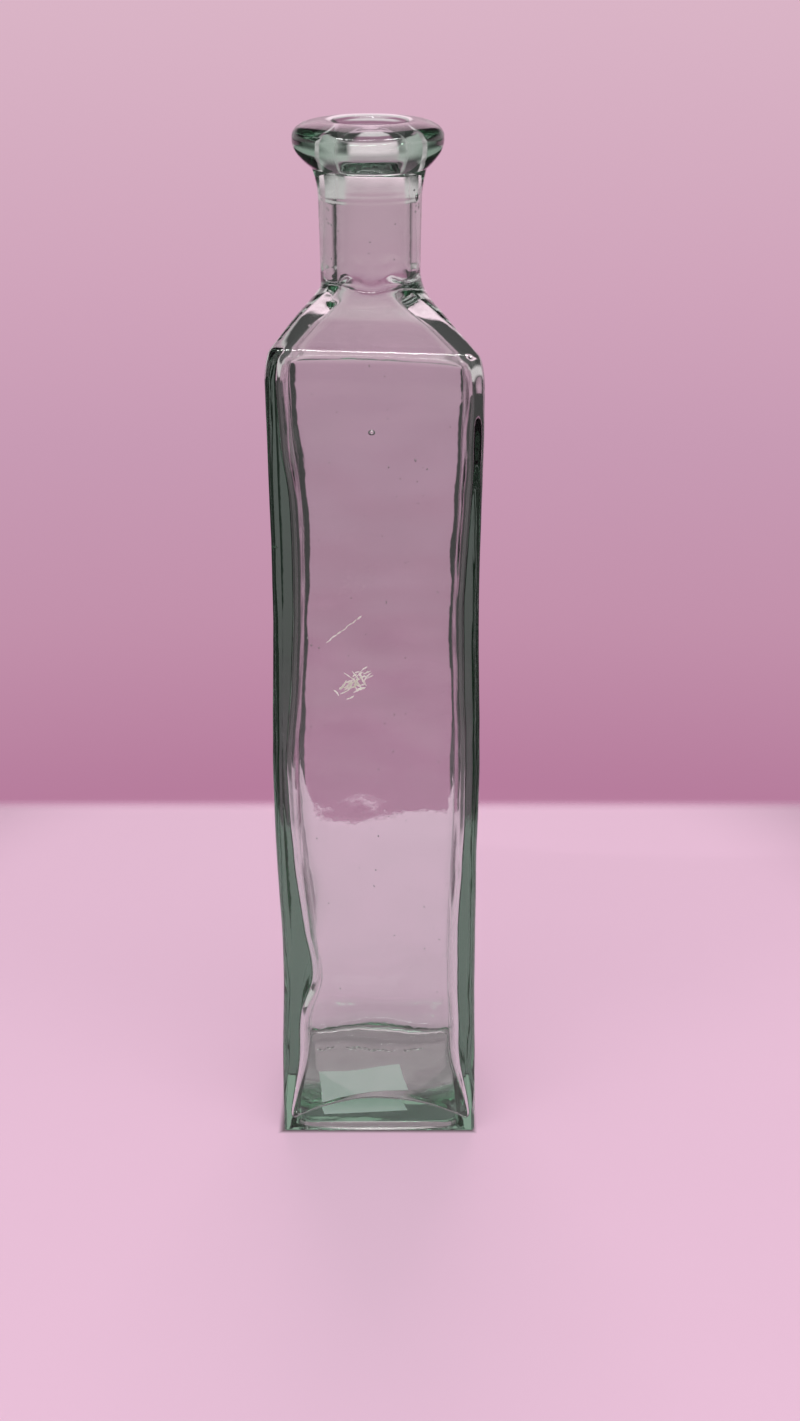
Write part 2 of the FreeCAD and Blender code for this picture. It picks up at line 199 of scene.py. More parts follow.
# ---------------------------------------------------------------- bubbles
PANEL_SEEDS = 80
NECK_SEEDS = 12

# ---------------------------------------------------------------- sticker under the base
LABEL_LENGTH = 26.0
LABEL_WIDTH = 14.0
LABEL_THICKNESS = 0.12
LABEL_SUNK = 0.05
LABEL_BACK = 1.0
LABEL_TURN = math.radians(9)
LABEL_RAGGED = 0.25
LABEL_COLUMNS = 52
LABEL_ROWS = 32

# ---------------------------------------------------------------- old paper on the front panel
SHRED_STEP = 0.25
SHRED_SUNK = 0.12
SHRED_PROUD = 0.05
PATCH_MIDDLE = (-6.0, 145.2)
PATCH_SLOPE = 0.55
PATCH_SHREDS = 46
SCRATCH_START = (-13.2, 157.9)
SCRATCH_END = (-4.6, 164.6)
SCRATCH_SHREDS = 7

# ---------------------------------------------------------------- mesh density
RING_SIDE = 24
RING_CORNER = 12
QUARTER = RING_SIDE + RING_CORNER
RING = 4 * QUARTER
ROOF_SPLIT = 3

# ---------------------------------------------------------------- materials
GLASS_IOR = 1.51
ABSORPTION_COLOUR = (0.53, 0.72, 0.61, 1.0)
ABSORPTION_DENSITY = 68.0
LABEL_COLOURS = ((0.84, 0.90, 0.88), (0.92, 0.95, 0.94))
RESIDUE_COLOURS = ((0.78, 0.74, 0.66), (0.95, 0.93, 0.88))
# The sockets of a mix node that belong to colours.
MIX_FIRST, MIX_SECOND, MIX_RESULT = 6, 7, 2

# ---------------------------------------------------------------- floor, in metres
FLOOR_BACK = 0.243
FLOOR_FADE = 0.008
FLOOR_REACH = 6.0
FLOOR_DROP = 0.00003
FLOOR_COLOUR = (0.835, 0.570, 0.725)
FLOOR_MOTTLE = tuple(0.975 * part for part in FLOOR_COLOUR)
FAR_COLOUR = (0.13, 0.11, 0.12)
# Distances from the middle between which the floor goes dim. Sideways ones count for more.
FLOOR_DIM_SPAN = (0.30, 0.56)
FLOOR_NARROW = 1.75
# The floor's colour holds a painted shadow where the bottle stands on it, darkest along the standing
# rim. The spans are half widths between which the painted rim shade starts, and between which the pale
# floor starts.
PAINTED_FOOT_SHADE = (0.50, 0.40, 0.45)
PAINTED_RIM_SHADE = (0.20, 0.15, 0.17)
RIM_SHADE_SPAN = (0.0272, 0.0288)
PALE_SPAN = (0.0288, 0.0309)

# ---------------------------------------------------------------- backdrop and room
# Colours by elevation in degrees above the horizon, as linear light: behind the object, to the
# sides, and in front of it.
BACKDROP = [
    (-90.0, (1.10, 0.86, 0.98)),
    (-33.0, (1.10, 0.86, 0.98)),
    (-26.0, (0.500, 0.240, 0.365)),
    (-21.0, (0.470, 0.205, 0.335)),
    (-16.5, (0.540, 0.280, 0.405)),
    (-11.5, (0.575, 0.325, 0.455)),
    (-7.4, (0.630, 0.370, 0.497)),
    (0.0, (0.700, 0.455, 0.565)),
    (9.0, (0.780, 0.540, 0.650)),
    (19.0, (1.50, 1.02, 1.24)),
    (50.0, (1.50, 1.02, 1.24)),
    (90.0, (0.12, 0.11, 0.115)),
]
ROOM = [
    (-90.0, (0.065, 0.058, 0.061)),
    (-4.2, (0.065, 0.058, 0.061)),
    (-3.0, (0.50, 0.40, 0.44)),
    (-1.0, (0.76, 0.64, 0.69)),
    (10.0, (0.76, 0.64, 0.69)),
    (20.0, (0.080, 0.072, 0.076)),
    (90.0, (0.12, 0.11, 0.115)),
]
ROOM_FRONT = [
    (-90.0, (0.065, 0.058, 0.061)),
    (10.0, (0.065, 0.058, 0.061)),
    (20.0, (0.90, 0.87, 0.88)),
    (55.0, (0.90, 0.87, 0.88)),
    (75.0, (0.12, 0.11, 0.115)),
    (90.0, (0.12, 0.11, 0.115)),
]
# Azimuths between which the backdrop gives way to the room, and the sides to the front.
BACKDROP_SIDE = (math.radians(42), math.radians(64))
FRONT_SIDE = (math.radians(105), math.radians(130))
# A quarter of the factor that narrows the backdrop, by elevation.
NARROWING = [
    (-90.0, (0.85, 0.85, 0.85)),
    (-10.0, (0.85, 0.85, 0.85)),
    (-8.0, (0.25, 0.25, 0.25)),
    (-4.2, (0.25, 0.25, 0.25)),
    (-3.0, (0.72, 0.72, 0.72)),
    (90.0, (0.72, 0.72, 0.72)),
]

# ---------------------------------------------------------------- lights and camera, in metres
KEY_AZIMUTHS = (math.radians(-48), 0.0, math.radians(48))
KEY_ELEVATION = math.radians(57)
KEY_DISTANCE = 2.5
KEY_SIZE = (0.8, 0.12)
KEY_WATTS = 11.0
# (name, watts, whether it casts shadows)
SOFT_LIGHTS = (("soft_top", 1.0, True), ("soft_fill", 9.0, False))
SOFT_PLACE = (-0.10, -0.10, 1.9)
SOFT_SIZE = (1.4, 1.4)
CAMERA_PLACE = (0.00687, -0.5839, 0.3279)
CAMERA_PITCH = math.radians(90 - 19.0)
CAMERA_LENS = 51.94


def blend(start, end, share):
    """A value or point part of the way from start to end."""
    return start + (end - start) * share


def ease(value, low, high):
    """0 below low and 1 above high, with a smooth turn in between."""
    share = min(1.0, max(0.0, (value - low) / (high - low)))
    return share * share * (3 - 2 * share)


def soft_max(first, second, soft):
    """The larger of two distances, rounded off where they are nearly equal."""
    gap = max(soft - abs(first - second), 0.0) / soft
    return max(first, second) + gap * gap * soft / 4


def level_at(levels, height):
    """The row of a level table at any height, on a smooth curve through its rows."""
    last = len(levels) - 1
    index = 0
    while index < last - 1 and height > levels[index + 1][0]:
        index += 1
    z1, z2 = levels[index][0], levels[index + 1][0]
    share = min(1.0, max(0.0, (height - z1) / (z2 - z1)))
    before, after = levels[max(index - 1, 0)], levels[min(index + 2, last)]
    row = []
    for column in range(1, len(levels[0])):
        p1, p2 = levels[index][column], levels[index + 1][column]
        m1 = (p2 - before[column]) / (z2 - before[0]) * (z2 - z1)
        m2 = (after[column] - p1) / (after[0] - z1) * (z2 - z1)
        s2, s3 = share**2, share**3
        value = (2 * s3 - 3 * s2 + 1) * p1 + (s3 - 2 * s2 + share) * m1
        row.append(value + (3 * s2 - 2 * s3) * p2 + (s3 - s2) * m2)
    return row


def smooth_path(points, steps):
    """Points on a smooth curve through a short list of (radius, distance) pairs."""
    path = []
    last = len(points) - 1
    for index in range(last):
        p0, p1, p2, p3 = (Vector(points[min(max(k, 0), last)]) for k in range(index - 1, index + 3))
        for step in range(steps):
            t = step / steps
            path.append(0.5 * (2 * p1 + (p2 - p0) * t + (2 * p0 - 5 * p1 + 4 * p2 - p3) * t**2
                               + (3 * p1 - p0 - 3 * p2 + p3) * t**3))
    path.append(Vector(points[-1]))
    return path


def steps_between(start, end, step):
    """Evenly spaced values from start to end, both included, no further apart than step."""
    count = max(1, math.ceil(abs(end - start) / step))
    return [blend(start, end, index / count) for index in range(count + 1)]


def ring_point(index, left, right, depth, corner):
    """One point of a round-cornered rectangle. Index 0 is the left end of the front side."""
    quarter, place = divmod(index % RING, QUARTER)
    signs = ((1, -1), (1, 1), (-1, 1), (-1, -1))
    angle = math.radians(90 * quarter - 90)

    def centre(number):
        sx, sy = signs[number % 4]
        x = right - corner if sx > 0 else corner - left
        return Vector((x, sy * (depth - corner)))

    if place <= RING_SIDE:
        arm = corner * Vector((math.cos(angle), math.sin(angle)))
        return blend(centre(quarter - 1), centre(quarter), place / RING_SIDE) + arm
    turn = angle + math.radians(90) * (place - RING_SIDE) / RING_CORNER
    return centre(quarter) + corner * Vector((math.cos(turn), math.sin(turn)))


def ring_angle(index):
    """The direction of a ring point on an evenly divided circle, in step with ring_point."""
    return math.radians(-90 + (index - RING_SIDE / 2) * 360 / RING)


def ripple(x, y, z, seed, scale):
    """Gentle unevenness of hand-worked glass, about -1 to 1."""
    return noise.noise(Vector((x / scale + seed, y / scale, z / (0.8 * scale))))


def uneven(point, z, amount, seed):
    """Move a wall point in or out a little, by low waves and finer horizontal ones."""
    low = ripple(point.x, point.y, z, seed, 15.0)
    fine = noise.noise(Vector((point.x / 30 + seed, point.y / 30, z / 5.0)))
    away = Vector((point.x**3, point.y**3)).normalized()
    return point + away * amount * (low + 0.3 * fine)


def outer_point(index, z, inset=0.0):
    """A point of the outside wall at a height, moved inwards by inset."""
    left, right = level_at(OUTER_LEVELS, z)
    corner = max(blend(FOOT_CORNER, BODY_CORNER, ease(z, 0, CORNER_LEVEL)) - inset, 0.4)
    point = ring_point(index, left - inset, right - inset, HALF_DEPTH - inset, corner)
    return uneven(point, z, OUTER_RIPPLE * ease(z, *OUTER_RIPPLE_START), 3.0)


def inner_point(index, z):
    """A point of the inner wall at a height."""
    left, right = level_at(INNER_LEVELS, z)
    corner = blend(CAVITY_FOOT_CORNER, CAVITY_CORNER, ease(z, 6, CORNER_LEVEL))
    point = ring_point(index, left, right, HALF_DEPTH - PANEL_WALL, corner)
    return uneven(point, z, INNER_RIPPLE * ease(z, *INNER_RIPPLE_START), 11.0)


def slanted(x, z, rise):
    """A height near the turn into the shoulder, which slants down to the right and arches by rise."""
    share = ease(z, 222, 233) * (1 - ease(z, 241, SHOULDER_TOP))
    return z + share * (rise * (1 - (x / HALF_DEPTH) ** 2) - SHOULDER_SLANT * x)


def neck_centre(z, shift):
    """Where the neck's leaning axis, or the bore's, crosses a height."""
    return Vector((NECK_X + shift, -(z - NECK_ROOT) * math.tan(NECK_LEAN)))


def neck_radius(distance):
    """Outer radius of the neck, up to the crease under the lip."""
    top = LIP_PROFILE[0]
    plain = blend(NECK_ROOT_RADIUS, NECK_TOP_RADIUS, min(1.0, distance / NECK_FLARE_START))
    share = max(0.0, (distance - NECK_FLARE_START) / (top[1] - NECK_FLARE_START))
    return plain + (top[0] - NECK_TOP_RADIUS) * share**1.8


def neck_ridge(index, distance):
    """Two faint ridges round the front of the neck, left by the tool that shaped the lip."""
    front = max(0.0, -math.sin(ring_angle(index)))
    height = sum(math.exp(-((distance - level) / NECK_RIDGE_WIDTH) ** 2) for level in NECK_RIDGES)
    return NECK_RIDGE_HEIGHT * front * height


def neck_point(index, radius, distance, shift=0.0):
    """A point on the neck or lip, in the tilted ring at a distance up the neck."""
    angle = ring_angle(index)
    x, y = radius * math.cos(angle), radius * math.sin(angle)
    in_lip = ease(distance, LIP_PROFILE[0][1] - 4, LIP_PROFILE[4][1])
    tilt = NECK_LEAN + LIP_TILT * in_lip
    return Vector((
        NECK_X + shift + LIP_SHIFT * in_lip + x,
        y * math.cos(tilt) - distance * math.sin(NECK_LEAN),
        NECK_ROOT + y * math.sin(tilt) + distance * math.cos(NECK_LEAN),
    ))


def shoulder_ring(height, walls, bend, top, neck, soft, rise_middle, seed):
    """One ring of a shoulder, from the turn off the walls up into the neck.

    walls holds the half widths, corner radius and level where the turn starts. top holds the half
    width, corner radius and level that the straight slope aims for. neck holds the radius and the
    sideways shift of the round form that the slope runs into. soft is how far the two are rounded
    into each other on the left and on the right. rise_middle arches the turn off the walls, and
    seed picks the ripple.
    """
    left, right, depth, corner, base = walls
    top_half, top_corner, top_level = top
    turned_inset = bend * (1 - math.cos(BEND_TURN))
    turned_height = bend * math.sin(BEND_TURN)
    rise = height - base
    if rise < turned_height:
        inset = bend - math.sqrt(bend**2 - rise**2)
        share = inset / (depth - top_half)
        sides = (left - inset, right - inset, depth - inset)
    else:
        climb = (rise - turned_height) / (top_level - base - turned_height)
        share = blend(turned_inset / (depth - top_half), 1.0, climb)
        sides = (
            blend(left - turned_inset, top_half - NECK_X, climb),
            blend(right - turned_inset, top_half + NECK_X, climb),
            blend(depth - turned_inset, top_half, climb),
        )
    radius = min(blend(corner, top_corner, min(1.0, share)), 0.92 * min(sides))
    tilt = -SHOULDER_TILT * ease(rise, 0, turned_height)
    lean = blend(tilt, NECK_LEAN, ease(height, top_level + LEAN_START, top_level + NECK_START))
    ripple_height = SHOULDER_RIPPLE * (1 - ease(height, top_level - 6, top_level))
    spread = ease(height, top_level + SPREAD_START, top_level + NECK_START)
    centre = neck_centre(height, neck[1])
    ring = []
    for index in range(RING):
        point = uneven(ring_point(index, *sides, radius), height, ripple_height, seed)
        arm = point - centre
        rounding = blend(soft[0], soft[1], ease(arm.x / arm.length, 0.5, 1.0))
        away = arm.normalized() * soft_max(arm.length, neck[0], rounding)
        even = Vector((math.cos(ring_angle(index)), math.sin(ring_angle(index)))) * neck[0]
        spot = centre + away.lerp(even, spread)
        level = slanted(spot.x, height, rise_middle) + (spot.y - centre.y) * math.tan(lean)
        ring.append(Vector((spot.x, spot.y, level)))
    return ring


def floor_height(x, y):
    """Level of the pushed-up floor: high in the middle, low in the two front corners."""
    left, right = level_at(INNER_LEVELS, FLOOR_MIDDLE)
    u = x / (left if x < 0 else right)
    v = y / (HALF_DEPTH - PANEL_WALL)
    dome = FLOOR_MIDDLE - FLOOR_FALL * (0.3 * u**2 + v**2)
    dome -= FLOOR_CORNER_FALL * u**2 * min(v, 0.0) ** 4
    return dome + FLOOR_RIPPLE * ripple(x, y, 0.0, 29.0, 14.0)


def studs():
    """Middles of the raised dots in a row under the base."""
    places = []
    for start, count in STUD_GROUPS:
        for number in range(count):
            y = STUD_ROW_Y + STUD_ZIGZAG * (number % 2)
            places.append(Vector((start + STUD_SPACING * number, y)))
    return places


def roof_height(x, y, dots):
    """Level of the recess roof under the base, with its row of raised dots."""
    height = RECESS_DEPTH + ROOF_RIPPLE * ripple(x, y, 0.0, 41.0, 9.0)
    for middle in dots:
        away = (Vector((x, y)) - middle).length / STUD_RADIUS
        if away < 1:
            height -= STUD_HEIGHT * (1 - away**2) ** 2
    return height


def base_rings():
    """From the edge of the recess roof, over the standing rim and round the heel to the wall."""
    rings = []

    def add(half, corner, z):
        rings.append([(*ring_point(index, half, half, half, corner), z) for index in range(RING)])

    for step in range(5):
        turn = math.radians(90) * step / 4
        inset = RECESS_ROUND * (1 - math.sin(turn))
        z = RECESS_DEPTH - RECESS_ROUND * (1 - math.cos(turn))
        add(RECESS_HALF - inset, RECESS_CORNER - inset, z)
    for step in range(4):
        turn = math.radians(90) * step / 3
        outward = RIM_ROUND * (1 - math.cos(turn))
        add(RECESS_HALF + outward, RECESS_CORNER + outward, RIM_ROUND * (1 - math.sin(turn)))
    inner_rim = rings[-1]
    foot = [(*outer_point(index, 0.0, HEEL_RADIUS), 0.0) for index in range(RING)]
    rings.append([tuple(blend(Vector(a), Vector(b), 0.5)) for a, b in zip(inner_rim, foot)])
    for step in range(7):
        turn = math.radians(90) * step / 6
        inset = HEEL_RADIUS * (1 - math.sin(turn))
        z = HEEL_RADIUS * (1 - math.cos(turn))
        rings.append([(*outer_point(index, z, inset), z) for index in range(RING)])
    return rings


def outside_rings():
    """The outside of the bottle from the heel to the crease under the lip."""
    rings = []
    bend_start = OUTER_LEVELS[-1][0]
    for z in steps_between(HEEL_RADIUS, bend_start, OUTER_STEP)[1:]:
        points = [outer_point(index, z) for index in range(RING)]
        rings.append([(*point, slanted(point.x, z, 0.0)) for point in points])
    left, right = level_at(OUTER_LEVELS, bend_start)
    walls = (left, right, HALF_DEPTH, BODY_CORNER, bend_start)
    top = (SHOULDER_TOP_HALF, SHOULDER_TOP_CORNER, SHOULDER_TOP)
    soft = (SHOULDER_SOFT, SHOULDER_SOFT_RIGHT)
    neck_start = SHOULDER_TOP + NECK_START
    for z in steps_between(bend_start, neck_start, SHOULDER_STEP)[1:]:
        neck = (neck_radius((z - NECK_ROOT) / math.cos(NECK_LEAN)), 0.0)
        rings.append(shoulder_ring(z, walls, BEND_RADIUS, top, neck, soft, 0.0, 3.0))
    start = (neck_start - NECK_ROOT) / math.cos(NECK_LEAN)
    for distance in steps_between(start, LIP_PROFILE[0][1], NECK_STEP)[1:]:
        ring = []
        for index in range(RING):
            radius = neck_radius(distance) + neck_ridge(index, distance)
            ring.append(neck_point(index, radius, distance))
        rings.append(ring)
    return rings


def lip_rings():
    """The lip, from the crease over the top and down into the bore."""
    rings = []
    for radius, distance in smooth_path(LIP_PROFILE, 4)[1:]:
        inward = 1 - ease(radius, BORE_RADIUS, LIP_PROFILE[6][0])
        rings.append([neck_point(index, radius, distance, BORE_X * inward) for index in range(RING)])
    return rings


def inside_rings():
    """The inner surface from the mouth down the bore, shoulder and walls to the pushed-up floor."""
    rings = []
    bore_end = INNER_TOP + NECK_START
    end = (bore_end - NECK_ROOT) / math.cos(NECK_LEAN)
    for distance in steps_between(LIP_PROFILE[-1][1], end, BORE_STEP)[1:]:
        radius = BORE_RADIUS + BORE_WAVE * ripple(0.0, 0.0, distance, 5.0, 6.0)
        rings.append([neck_point(index, radius, distance, BORE_X) for index in range(RING)])
    bend_start = INNER_LEVELS[-1][0]
    left, right = level_at(INNER_LEVELS, bend_start)
    walls = (left, right, HALF_DEPTH - PANEL_WALL, CAVITY_CORNER, bend_start)
    top = (INNER_TOP_HALF, INNER_TOP_CORNER, INNER_TOP)
    neck = (BORE_RADIUS, BORE_X)
    soft = (INNER_SOFT, INNER_SOFT)
    for z in steps_between(bore_end, bend_start, SHOULDER_STEP)[1:]:
        rings.append(shoulder_ring(z, walls, INNER_BEND_RADIUS, top, neck, soft, INNER_RISE, 17.0))
    for z in steps_between(bend_start, LOW_WALL, INNER_STEP)[1:]:
        points = [inner_point(index, z) for index in range(RING)]
        rings.append([(*point, slanted(point.x, z, INNER_RISE)) for point in points])
    feet = [inner_point(index, FLOOR_MIDDLE) for index in range(RING)]
    low = [floor_height(*foot) + floor_fillet(foot.y) for foot in feet]
    for share in steps_between(0.0, 1.0, 0.08)[1:]:
        ring = []
        for index in range(RING):
            z = blend(LOW_WALL, low[index], share)
            ring.append((*heel_roll(inner_point(index, z), z), z))
        rings.append(ring)
    return rings + floor_rings(rings[-1])


def floor_rings(bottom):
    """The fillet from the lowest ring of the inner wall into the floor, and the floor to its middle."""
    rings = []
    for step in range(1, 7):
        turn = math.radians(90) * step / 6
        rings.append([turn_to_floor(point, turn) for point in bottom])
    edge = rings[-1]
    for share in steps_between(1.0, 0.03, 0.03)[1:]:
        ring = []
        for point in edge:
            x, y = point[0] * share, point[1] * share
            ring.append((x, y, floor_height(x, y)))
        rings.append(ring)
    return rings


def heel_roll(point, z):
    """A point of the inner wall moved in by the wavy roll of glass along the foot of the back wall."""
    if point.y < 0.9 * (HALF_DEPTH - PANEL_WALL):
        return point
    wave = 0.8 + 0.6 * noise.noise(Vector((point.x / 5, 7.0, z / 3)))
    share = math.exp(-((z - HEEL_ROLL_LEVEL) / HEEL_ROLL_REACH) ** 2) * wave
    return Vector((point.x, point.y - HEEL_ROLL * share))


def floor_fillet(y):
    """Radius of the fillet between the inner wall and the floor, which is largest at the back."""
    return blend(FLOOR_FILLET, FLOOR_FILLET_BACK, ease(y, 18, HALF_DEPTH - PANEL_WALL))


def turn_to_floor(point, turn):
    """A point of the fillet between the inner wall and the floor."""
    x, y, _ = point
    fillet = floor_fillet(y)
    inward = fillet * (1 - math.cos(turn))
    length = math.hypot(x, y)
    x, y = x * (1 - inward / length), y * (1 - inward / length)
    return (x, y, floor_height(x, y) + fillet * (1 - math.sin(turn)))


def add_roof(mesh, edge_ring):
    """The recess roof inside its edge ring: a fine grid, so that the raised dots are round."""
    split = ROOF_SPLIT
    side = QUARTER * split
    first = RING_SIDE + RING_CORNER // 2 - QUARTER
    dots = studs()
    half = RECESS_HALF - RECESS_ROUND - 0.6
    corner = RECESS_CORNER - RECESS_ROUND - 0.6

    def border(step):
        whole, part = divmod(step, split)
        start = ring_point(first + whole, half, half, half, corner)
        end = ring_point(first + whole + 1, half, half, half, corner)
        return blend(start, end, part / split)

    front = [border(step) for step in range(side + 1)]
    right = [border(side + step) for step in range(side + 1)]
    back = [border(3 * side - step) for step in range(side + 1)]
    left = [border((4 * side - step) % (4 * side)) for step in range(side + 1)]
    grid = []
    for row in range(side + 1):
        v = row / side
        line = []
        for column in range(side + 1):
            u = column / side
            sides = blend(front[column], back[column], v) + blend(left[row], right[row], u)
            corners = blend(blend(front[0], front[-1], u), blend(back[0], back[-1], u), v)
            spot = sides - corners
            line.append(mesh.verts.new((spot.x, spot.y, roof_height(spot.x, spot.y, dots))))
        grid.append(line)
    for row in range(side):
        for column in range(side):
            a, b = grid[row][column], grid[row][column + 1]
            c, d = grid[row + 1][column + 1], grid[row + 1][column]
            mesh.faces.new((a, d, c, b))
    rim = grid[0][:-1] + [line[-1] for line in grid[:-1]]
    rim += grid[-1][:0:-1] + [line[0] for line in grid[:0:-1]]
    for place in range(RING):
        a, b = edge_ring[(first + place) % RING], edge_ring[(first + place + 1) % RING]
        p = [rim[(place * split + step) % len(rim)] for step in range(split + 1)]
        mesh.faces.new((p[0], p[1], a))
        mesh.faces.new((a, p[1], p[2], b))
        mesh.faces.new((b, p[2], p[3]))


def add_bubble(mesh, centre, radius, stretch):
    """A closed empty bubble in the glass: a small sphere whose surface faces its own middle."""
    fineness = 2 if radius < 0.5 else 3
    made = bmesh.ops.create_icosphere(mesh, subdivisions=fineness, radius=radius)
    for vert in made["verts"]:
        vert.co = Vector(a * b for a, b in zip(vert.co, stretch)) + Vector(centre)
    faces = {face for vert in made["verts"] for face in vert.link_faces}
    bmesh.ops.reverse_faces(mesh, faces=list(faces))


def bubbles():
    """Middles, radii and stretches of the bubbles: a few large ones and a scatter of seeds."""
    front = -HALF_DEPTH + PANEL_WALL / 2
    found = [
        ((-0.9, front, 217.0), 0.75, (1.3, 0.7, 1.0)),
        ((-28.0, -26.5, 184.5), 0.55, (2.0, 1.0, 0.7)),
        ((10.9, -7.0, 278.2), 0.75, (1.0, 1.0, 1.5)),
        ((11.6, -6.0, 275.6), 0.5, (0.8, 0.8, 1.8)),
        ((9.6, -7.4, 280.2), 0.35, (1.0, 1.0, 1.0)),
        ((-17.5, front, 246.0), 0.4, (1.2, 1.0, 1.0)),
    ]
    seeds = random.Random(7)
    for _ in range(PANEL_SEEDS):
        side = seeds.choice((front, -front))
        spot = (seeds.uniform(-22, 22), side + seeds.uniform(-0.6, 0.6), seeds.uniform(30, 228))
        found.append((spot, seeds.uniform(0.10, 0.24), (1.0, 1.0, seeds.uniform(1.0, 1.8))))
    for _ in range(NECK_SEEDS):
        angle = seeds.uniform(-math.pi, 0)
        z = seeds.uniform(256, 276)
        centre = neck_centre(z, 0.0)
        radius = (NECK_ROOT_RADIUS + BORE_RADIUS) / 2
        spot = (centre.x + radius * math.cos(angle), centre.y + radius * math.sin(angle), z)
        found.append((spot, seeds.uniform(0.10, 0.22), (1.0, 1.0, 1.3)))
    return found


def finish_mesh(mesh, name, smooth):
    """Turn a bmesh in millimetres into an object in metres."""
    data = bpy.data.meshes.new(name)
    bmesh.ops.scale(mesh, vec=(MM, MM, MM), verts=mesh.verts)
    mesh.to_mesh(data)
    mesh.free()
    if smooth:
        data.shade_smooth()
    piece = bpy.data.objects.new(name, data)
    bpy.context.scene.collection.objects.link(piece)
    return piece


def make_bottle():
    """The bottle's glass, body and lip together: one closed surface, outside and inside."""
    mesh = bmesh.new()
    rings = base_rings() + outside_rings() + lip_rings() + inside_rings()
    made = [[mesh.verts.new(point) for point in ring] for ring in rings]
    for lower, upper in zip(made, made[1:]):
        for index in range(RING):
            following = (index + 1) % RING
            mesh.faces.new((lower[index], lower[following], upper[following], upper[index]))
    middle = mesh.verts.new((0.0, 0.0, floor_height(0.0, 0.0)))
    for index in range(RING):
        mesh.faces.new((made[-1][index], made[-1][(index + 1) % RING], middle))
    add_roof(mesh, made[0])
    for centre, radius, stretch in bubbles():
        add_bubble(mesh, centre, radius, stretch)
    return finish_mesh(mesh, "bottle_glass", smooth=True)


def label_sheet(mesh, above):
    """One side of the sticker: rows of points that stand above the recess roof by a distance."""
    middle = (LABEL_LOW + LABEL_HIGH) / 2 + Vector((0.0, LABEL_BACK, 0.0))
    cos, sin = math.cos(LABEL_TURN), math.sin(LABEL_TURN)
    sheet = []
    for row in range(LABEL_ROWS + 1):
        line = []
        for column in range(LABEL_COLUMNS + 1):
            u, v = column / LABEL_COLUMNS - 0.5, row / LABEL_ROWS - 0.5
            ragged = 0.0
            if max(abs(u), abs(v)) == 0.5:
                ragged = LABEL_RAGGED * noise.noise(Vector((u * 40, v * 40, 3.0)))
            along, across = u * (LABEL_LENGTH + ragged), v * (LABEL_WIDTH + ragged)
            x = middle.x + along * cos - across * sin
            y = middle.y + along * sin + across * cos
            line.append(mesh.verts.new((x, y, roof_height(x, y, ()) + above)))
        sheet.append(line)
    return sheet


def make_label():
    """The paper sticker under the base, slightly cockled, stuck to the recess roof."""
    mesh = bmesh.new()
    top = label_sheet(mesh, LABEL_SUNK)
    bottom = label_sheet(mesh, LABEL_SUNK - LABEL_THICKNESS)
    rows, columns = range(LABEL_ROWS), range(LABEL_COLUMNS)
    for row in rows:
        for column in columns:
            cell = [(row, column), (row, column + 1), (row + 1, column + 1), (row + 1, column)]
            mesh.faces.new([top[r][c] for r, c in cell])
            mesh.faces.new([bottom[r][c] for r, c in reversed(cell)])
    loop = [(0, c) for c in columns] + [(r, LABEL_COLUMNS) for r in rows]
    loop += [(LABEL_ROWS, c + 1) for c in reversed(columns)] + [(r + 1, 0) for r in reversed(rows)]
    for (r1, c1), (r2, c2) in zip(loop, loop[1:] + loop[:1]):
        mesh.faces.new((bottom[r1][c1], bottom[r2][c2], top[r2][c2], top[r1][c1]))
    return finish_mesh(mesh, "price_label_paper", smooth=False)


def add_shred(mesh, x, z, length, width, tilt, seeds):
    """A thin torn shred of paper on the front panel, with ragged edges."""
    count = max(4, int(length / SHRED_STEP))
    direction = Vector((math.cos(tilt), math.sin(tilt)))
    across = Vector((-direction.y, direction.x))
    bow = seeds.uniform(-0.12, 0.12) * length
    rails = []
    for step in range(count + 1):
        share = step / count
        fullness = 1 - (2 * share - 1) ** 2
        middle = Vector((x, z)) + direction * length * (share - 0.5) + across * bow * fullness
        half = width / 2 * math.sqrt(max(0.04, fullness)) * seeds.uniform(0.6, 1.3)
        pair = []
        for sign in (1, -1):
            spot = middle + across * half * sign
            pair.append(mesh.verts.new((spot.x, -HALF_DEPTH - SHRED_PROUD, spot.y)))
            pair.append(mesh.verts.new((spot.x, -HALF_DEPTH + SHRED_SUNK, spot.y)))
        rails.append(pair)
    for (a, b, c, d), (e, f, g, h) in zip(rails, rails[1:]):
        mesh.faces.new((a, c, g, e))
        mesh.faces.new((b, f, h, d))
        mesh.faces.new((a, e, f, b))
        mesh.faces.new((c, d, h, g))
    a, b, c, d = rails[0]
    mesh.faces.new((a, b, d, c))
    a, b, c, d = rails[-1]
    mesh.faces.new((a, c, d, b))


def make_residue():
    """The shreds of paper and dried glue left on the front panel, and the scratch over them."""
    mesh = bmesh.new()
    seeds = random.Random(21)
    patch_x, patch_z = PATCH_MIDDLE
    for _ in range(PATCH_SHREDS):
        x = seeds.gauss(patch_x, 2.2)
        z = patch_z + PATCH_SLOPE * (x - patch_x) + seeds.gauss(0.0, 1.3)
        x = min(max(x, RESIDUE_LOW.x + 3), RESIDUE_HIGH.x)
        tilt = math.radians(seeds.choice((25, 40, 60, 130)) + seeds.uniform(-15, 15))
        add_shred(mesh, x, z, seeds.uniform(1.0, 3.6), seeds.uniform(0.20, 0.52), tilt, seeds)
    for number in range(SCRATCH_SHREDS):
        share = number / (SCRATCH_SHREDS - 1)
        x, z = (blend(start, end, share) for start, end in zip(SCRATCH_START, SCRATCH_END))
        tilt = math.radians(38 + seeds.uniform(-10, 10))
        add_shred(mesh, x, z, seeds.uniform(1.4, 2.6), seeds.uniform(0.20, 0.45), tilt, seeds)
    return finish_mesh(mesh, "label_residue_shreds", smooth=False)


